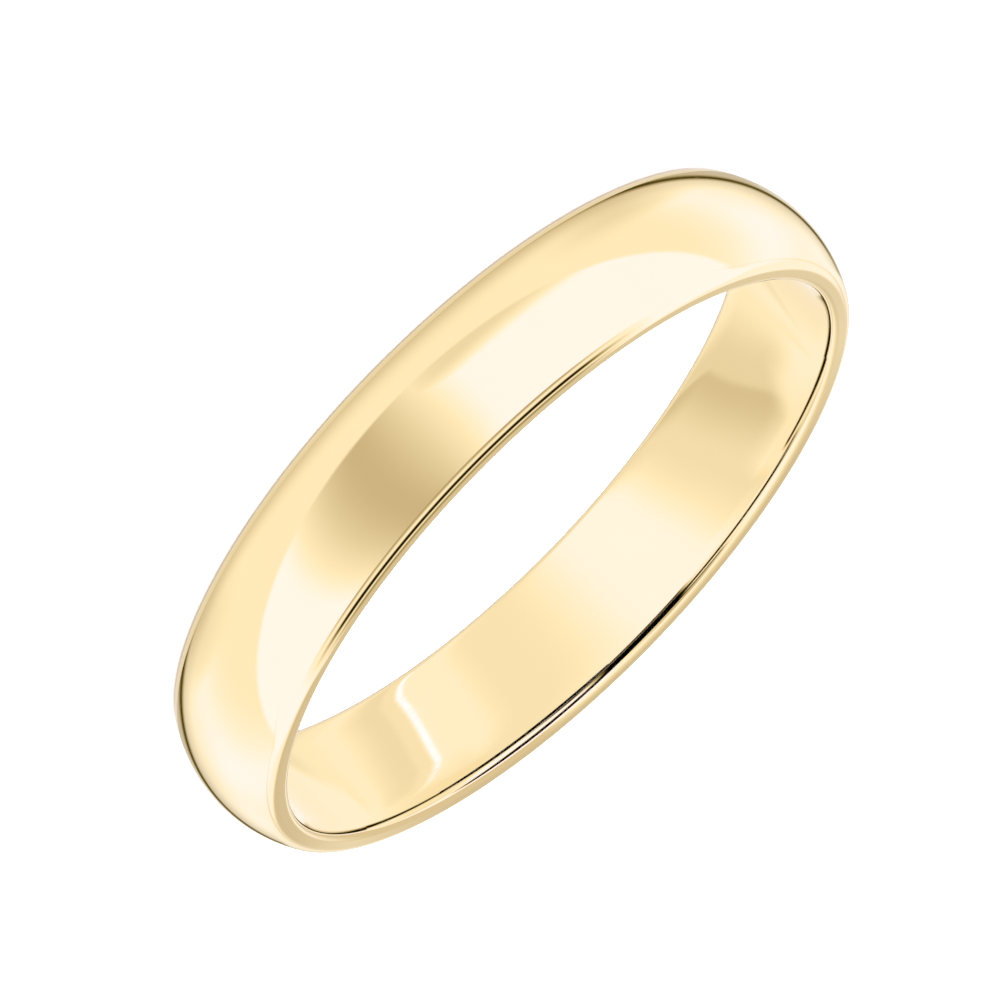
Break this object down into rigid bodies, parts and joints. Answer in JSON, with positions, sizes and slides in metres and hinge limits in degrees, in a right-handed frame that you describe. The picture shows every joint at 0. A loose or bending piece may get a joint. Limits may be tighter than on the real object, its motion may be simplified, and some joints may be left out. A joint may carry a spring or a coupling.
{
  "type": "wedding band",
  "caption": "Plain domed band worn on a finger, with a straight bore that rolls away at both ends and a narrow flat rim on each side.",
  "frame": {"origin": "centre of the finger bore, midway between the two rims", "axes": "+Z along the bore; the band lies flat with its rims square to Z, and is the same all the way round and on both sides"},
  "size_m": [0.0226, 0.0226, 0.004],
  "materials": {
    "yellow_gold": "polished"
  },
  "bodies": {
    "root": {"band": "yellow_gold"}
  },
  "joints": []
}
